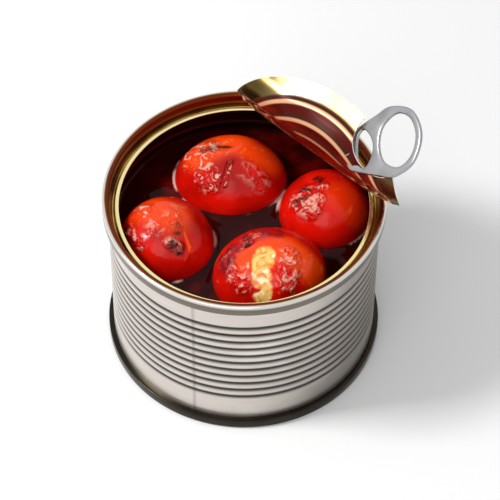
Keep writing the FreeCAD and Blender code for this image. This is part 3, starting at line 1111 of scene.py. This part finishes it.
@dataclass(frozen=True)
class Tomato:
    """A small roasted tomato, round with a stem dimple."""

    name: str
    centre: Point3
    half: Point3
    tilt: float
    turn: float
    patches: tuple[Patch, ...]
    seed: int
    clearance: float = 0.12
    shoulder: float = 0.05
    dimple: float = 0.10
    dimple_spread: float = 0.32
    bump_depth: float = 0.16
    fold_depth: float = 0.45
    char_depth: float = 0.35
    detail: int = 7

    def place(self, heading: Vector) -> Vector:
        """Smooth skin in a direction of the fruit's own frame, from the centre, in millimetres."""
        angle = acos(min(max(heading.z, -1.0), 1.0))
        flare = 1 + self.shoulder * sin(angle) ** 2
        height = heading.z - self.dimple * exp(-((angle / self.dimple_spread) ** 2))
        spot = Vector((heading.x * flare, heading.y * flare, height))
        spot = Matrix.Rotation(self.turn, 3, "Z") @ Matrix.Rotation(self.tilt, 3, "Y") @ spot
        waist = 1 + self.shoulder
        wide, deep, tall = (h - self.clearance for h in self.half)
        return Vector((spot.x * wide / waist, spot.y * deep / waist, spot.z * tall))

    def stray_patches(self) -> list[Patch]:
        """Faint marks on the sides that the main ones leave plain."""
        dice = random.Random(self.seed)
        patches = []
        for mark, radius, strength in ((Mark.ORANGE, 0.55, 0.4), (Mark.WRINKLE, 0.30, 0.30),
                                       (Mark.ORANGE, 0.40, 0.5), (Mark.CHAR, 0.12, 0.5)):
            heading = (dice.uniform(-1, 1), dice.uniform(0.2, 1), dice.uniform(-0.2, 0.5))
            patches.append(Patch(mark, heading, heading, radius, strength))
        return patches

    def build(self, material: Material) -> Object:
        """Make the piece."""
        bm = bmesh.new()
        bmesh.ops.create_icosphere(bm, subdivisions=self.detail, radius=1.0)
        layers = {mark: bm.verts.layers.float.new(mark.value) for mark in PAINTED}
        patches = list(self.patches) + self.stray_patches()
        centre = Vector(self.centre)
        for vert in bm.verts:
            spot = self.place(vert.co.normalized())
            heading = Vector(tuple(p / h for p, h in zip(spot, self.half))).normalized()
            shares = {mark: 0.0 for mark in Mark}
            for patch in patches:
                shares[patch.mark] = max(shares[patch.mark], patch.share(heading))
            for mark, layer in layers.items():
                vert[layer] = shares[mark]
            rough = spot + Vector((self.seed * 31.0, 0.0, 0.0))
            folds = abs(noise.noise(rough * 0.75 + noise.noise_vector(rough * 0.35) * 1.2))
            bumps = 0.5 + 0.5 * noise.noise(rough * 0.16)
            sink = self.bump_depth * bumps
            sink += self.fold_depth * shares[Mark.WRINKLE] * (1 - min(folds * 3.0, 1.0))
            sink += self.char_depth * shares[Mark.CHAR] * abs(noise.noise(rough * 1.1))
            sink -= sum(height * shares[mark] for mark, height in RELIEF.items())
            vert.co = (centre + spot - heading * sink) * MM
        bmesh.ops.recalc_face_normals(bm, faces=bm.faces)
        return declare(finish_mesh(bm, self.name + "_skin", [material], 180.0), self.name, Slot.SKIN)


def tomatoes(height: float) -> list[Tomato]:
    """The four fruits, as they lie.

    Args:
        height: of the tin, in millimetres.
    Returns:
        Their descriptions.
    """
    orange, wrinkle, char, purple = Mark.ORANGE, Mark.WRINKLE, Mark.CHAR, Mark.PURPLE
    flesh, crack, ridge, pit = Mark.FLESH, Mark.CRACK, Mark.RIDGE, Mark.PIT
    back = (
        Patch(orange, (-0.52, 0.14, 0.84), (0.05, 0.39, 0.92), 0.60),
        Patch(orange, (0.20, 0.20, 0.95), (0.70, 0.00, 0.70), 0.45, 0.75),
        Patch(wrinkle, (-0.70, 0.29, 0.65), (-0.34, -0.56, 0.75), 0.36),
        Patch(wrinkle, (-0.44, 0.25, 0.86), (-0.54, -0.23, 0.81), 0.34),
        Patch(char, (-0.42, 0.19, 0.88), (-0.09, 0.12, 0.99), 0.26, 0.42),
        Patch(crack, (-0.02, -0.25, 0.97), (-0.15, -0.68, 0.71), 0.05),
        Patch(wrinkle, (0.02, -0.25, 0.97), (-0.10, -0.68, 0.71), 0.05, 0.8),
        Patch(wrinkle, (0.30, -0.40, 0.86), (0.56, -0.56, 0.62), 0.28, 0.30),
    )
    left = (
        Patch(orange, (-0.35, 0.30, 0.88), (0.15, 0.00, 0.99), 0.60, 0.75),
        Patch(wrinkle, (-0.55, 0.30, 0.80), (-0.40, 0.20, 0.88), 0.24),
        Patch(wrinkle, (-0.20, -0.22, 0.95), (0.10, 0.00, 1.00), 0.30, 0.45),
        Patch(wrinkle, (-0.75, -0.10, 0.65), (-0.50, -0.52, 0.69), 0.16, 0.95),
        Patch(char, (0.28, -0.22, 0.93), (0.24, -0.26, 0.93), 0.22, 0.48),
        Patch(char, (0.15, -0.58, 0.78), (0.30, -0.66, 0.70), 0.20, 0.70),
        Patch(wrinkle, (0.10, -0.55, 0.80), (0.28, -0.60, 0.74), 0.18, 0.80),
        Patch(ridge, (0.44, -0.30, 0.85), (0.54, -0.53, 0.65), 0.05),
        Patch(ridge, (0.54, -0.53, 0.65), (0.43, -0.76, 0.49), 0.05),
        Patch(orange, (0.44, -0.30, 0.85), (0.54, -0.60, 0.60), 0.08, 0.9),
    )
    right = (
        Patch(char, (-0.60, -0.22, 0.76), (-0.25, 0.14, 0.95), 0.38, 0.62),
        Patch(wrinkle, (-0.16, 0.06, 0.98), (-0.05, 0.00, 0.99), 0.16),
        Patch(wrinkle, (-0.62, -0.25, 0.74), (-0.30, -0.50, 0.81), 0.30),
        Patch(wrinkle, (-0.45, 0.00, 0.88), (-0.20, -0.30, 0.93), 0.26, 0.7),
        Patch(ridge, (-0.20, -0.62, 0.74), (-0.05, -0.45, 0.88), 0.04),
        Patch(orange, (0.30, -0.20, 0.92), (0.70, -0.40, 0.58), 0.50, 0.30),
    )
    front = (
        Patch(char, (-0.42, 0.22, 0.88), (-0.40, 0.24, 0.88), 0.17, 0.95),
        Patch(pit, (-0.42, 0.22, 0.88), (-0.40, 0.24, 0.88), 0.14),
        Patch(purple, (-0.80, -0.05, 0.60), (-0.50, 0.45, 0.74), 0.42),
        Patch(purple, (-0.50, 0.45, 0.74), (0.10, 0.40, 0.91), 0.26, 0.9),
        Patch(wrinkle, (-0.80, -0.05, 0.60), (-0.30, 0.45, 0.84), 0.24, 0.55),
        Patch(flesh, (-0.10, -0.18, 0.98), (-0.15, -0.88, 0.50), 0.25, 0.8),
        Patch(wrinkle, (-0.66, -0.30, 0.69), (-0.52, -0.62, 0.60), 0.30),
        Patch(wrinkle, (0.32, -0.20, 0.92), (0.30, -0.70, 0.65), 0.26, 0.85),
        Patch(char, (0.20, -0.42, 0.88), (0.18, -0.50, 0.85), 0.12, 0.5),
        Patch(orange, (-0.40, -0.20, 0.90), (0.30, 0.00, 0.95), 0.42, 0.8),
        Patch(orange, (0.30, -0.05, 0.95), (0.80, -0.35, 0.55), 0.42, 0.9),
    )
    table = (
        ("tomato_back", (-3.9, 17.9, height - 15.7), (15.9, 13.9, 13.2), 20.0, 115.0, back),
        ("tomato_left", (-20.8, -5.8, height - 14.7), (13.5, 13.6, 13.0), 38.0, -30.0, left),
        ("tomato_right", (21.9, 5.8, height - 15.0), (13.1, 13.1, 12.8), 30.0, 150.0, right),
        ("tomato_front", (6.9, -17.6, height - 12.7), (15.7, 13.9, 13.2), 34.0, 150.0, front),
    )
    return [Tomato(name, centre, half, radians(tilt), radians(turn), patches, seed)
            for seed, (name, centre, half, tilt, turn, patches) in enumerate(table, 1)]


@dataclass(frozen=True)
class Juice:
    """Juice up to its level, drawn up a little where it meets skin and wall."""

    tin: TinSizes
    wall: Wall
    base: Base
    fruits: tuple[Tomato, ...]
    depth: float = 14.5
    climb: float = 0.75
    climb_reach: float = 1.1
    glint_reach: float = 0.6
    wall_margin: float = 1.5
    ripple: float = 0.10
    rings: int = 84
    wall_points: int = 90
    slack: float = 0.01

    @property
    def level(self) -> float:
        """Height of the flat surface."""
        return self.tin.height - self.depth

    def shore(self, x: float, y: float) -> float:
        """Distance from a point of the surface to the nearest skin or wall, in millimetres."""
        near = self.tin.inner_radius - hypot(x, y)
        for fruit in self.fruits:
            parts = [(p - c) / h for p, c, h in zip((x, y, self.level), fruit.centre, fruit.half)]
            near = min(near, (sqrt(sum(p * p for p in parts)) - 1.0) * fruit.half[0])
        return max(near, 0.0)

    def rise(self, x: float, y: float) -> float:
        """Height of the surface above its level, in millimetres."""
        ripple = self.ripple * noise.noise(Vector((x, y, 0.0)) * 0.25)
        return self.climb * exp(-self.shore(x, y) / self.climb_reach) + ripple

    def edge(self, place: Vector) -> float:
        """How near a point of the surface is to a tomato, from 0 to 1."""
        x, y = place.x / MM, place.y / MM
        if place.z < (self.level - 1.0) * MM or hypot(x, y) > self.tin.inner_radius - self.wall_margin:
            return 0.0
        return exp(-self.shore(x, y) / self.glint_reach)

    def build(self, finish: JuiceFinish) -> Object:
        """Make the piece."""
        level, foot = self.level, self.base.panel_height
        inner = self.tin.inner_radius - self.slack
        floor = [p for p in self.base.surface()[::-1] if p[0] < inner]
        heights = [foot + (level - foot) * i / self.wall_points for i in range(1, self.wall_points)]
        walls = [(inner, foot)] + [(inner - self.wall.depression(z), z) for z in heights]
        top = [(inner * (1 - i / self.rings), level) for i in range(self.rings + 1)]
        bm = lathe(floor + walls + top, self.tin.steps, closed=False)
        for vert in bm.verts:
            if vert.co.z > (level - self.slack) * MM:
                vert.co.z += self.rise(vert.co.x / MM, vert.co.y / MM) * MM
        bmesh.ops.recalc_face_normals(bm, faces=bm.faces)
        paint(bm, "edge", self.edge)
        return declare(finish_mesh(bm, "juice_body", [finish.build()], 60.0), Node.JUICE.value, Slot.JUICE)


# ------------------------------------------------------------------ studio


@dataclass(frozen=True)
class Softbox:
    """A square area light."""

    name: str
    place: Point3
    size: float
    power: float

    def build(self) -> None:
        """Hang the light, aimed at the tin."""
        data = bpy.data.lights.new(self.name, "AREA")
        data.size = self.size
        data.energy = self.power
        lamp = bpy.data.objects.new(self.name, data)
        lamp.location = self.place
        aim = Vector((0.0, 0.0, 0.04)) - Vector(self.place)
        lamp.rotation_euler = aim.to_track_quat("-Z", "Y").to_euler()
        bpy.context.scene.collection.objects.link(lamp)


@dataclass(frozen=True)
class Studio:
    """Pale floor, white surroundings, soft lights and the camera."""

    floor_size: float = 1.6
    surroundings: float = 0.55
    mirrored: float = 0.90
    lights: tuple[Softbox, ...] = (
        Softbox("key", (-0.46, -0.06, 0.56), 0.16, 3.4),
        Softbox("fill", (-0.15, -0.55, 0.60), 0.50, 1.2),
    )
    target: Point3 = (1.66, 0.0, 30.73)
    elevation: float = radians(51.2985)
    distance: float = 657.7
    roll: float = radians(0.48184)
    lens: float = 172.5

    def world(self) -> None:
        """White behind everything, softer as a light."""
        world = bpy.data.worlds.new("surroundings")
        world.use_nodes = True
        tree = world.node_tree
        tree.nodes.clear()
        output, shade, ray, glossy, seen = (tree.nodes.new("ShaderNode" + kind) for kind in (
            "OutputWorld", "Background", "LightPath", "Math", "Math"))
        glossy.operation, seen.operation = "MULTIPLY_ADD", "MAXIMUM"
        for source, target in ((ray.outputs["Is Glossy Ray"], glossy.inputs[0]),
                               (ray.outputs["Is Camera Ray"], seen.inputs[0]),
                               (glossy.outputs[0], seen.inputs[1]),
                               (seen.outputs[0], shade.inputs["Strength"]),
                               (shade.outputs[0], output.inputs[0])):
            tree.links.new(source, target)
        glossy.inputs[1].default_value = self.mirrored - self.surroundings
        glossy.inputs[2].default_value = self.surroundings
        shade.inputs["Color"].default_value = (1.0, 1.0, 1.0, 1.0)
        bpy.context.scene.world = world

    def floor(self) -> None:
        """Plain pale floor."""
        bm = bmesh.new()
        bmesh.ops.create_grid(bm, x_segments=1, y_segments=1, size=self.floor_size)
        s = Shader("pale floor")
        s.principled(base_color=(0.93, 0.93, 0.93), roughness=0.9)
        finish_mesh(bm, "floor", [s.material])

    def camera(self) -> None:
        """Camera looking down over the tin's front."""
        back = Vector((0.0, -cos(self.elevation), sin(self.elevation)))
        level = Vector((1.0, 0.0, 0.0))
        rise = back.cross(level)
        right = level * cos(self.roll) + rise * sin(self.roll)
        up = rise * cos(self.roll) - level * sin(self.roll)
        data = bpy.data.cameras.new("camera")
        data.lens = self.lens
        data.sensor_width = 36.0
        data.clip_start = 0.01
        camera = bpy.data.objects.new("camera", data)
        turn = Matrix((right, up, back)).transposed()
        place = (Vector(self.target) + back * self.distance) * MM
        camera.matrix_world = Matrix.Translation(place) @ turn.to_4x4()
        bpy.context.scene.collection.objects.link(camera)
        bpy.context.scene.camera = camera

    def build(self) -> None:
        """Set up everything round the tin."""
        bpy.context.scene.view_settings.view_transform = "Standard"
        self.world()
        self.floor()
        for light in self.lights:
            light.build()
        self.camera()


def main() -> None:
    """Build the tin piece by piece and log how many faces each piece has."""
    logging.basicConfig(level=logging.INFO, format="%(message)s")
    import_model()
    tin = TinSizes()
    wall, base = Wall(tin), Base(tin)
    path = PeelPath(tin)
    seat = TabSeat(path)
    silver = MetalFinish("bright tinplate", (0.66, 0.62, 0.58), 0.24)
    gold = MetalFinish("gold lacquered sheet", (0.58, 0.40, 0.13), 0.2)
    torn = MetalFinish("cut edge", (0.86, 0.82, 0.74), 0.25)
    aluminium = MetalFinish("aluminium", (0.40, 0.40, 0.41), 0.2)
    skin = SkinFinish().build()
    fruits = tuple(tomatoes(tin.height))
    pieces = [
        wall.build(WallFinish()),
        base.build(MetalFinish("shaded tinplate", (0.030, 0.025, 0.018), 0.16)),
        EndRing(tin).build(EndFinish()),
        FoldRemains(path).build(gold),
        PeeledPanel(path, seat).build(PanelFinish(), silver, torn),
        Rivet(seat).build(aluminium),
        PullTab(seat).build(aluminium),
        *(fruit.build(skin) for fruit in fruits),
        Juice(tin, wall, base, fruits).build(JuiceFinish()),
    ]
    for piece in pieces:
        LOG.info("%s: %d faces", piece.name, len(piece.data.polygons))
    Studio().build()


if __name__ == "__main__":
    main()
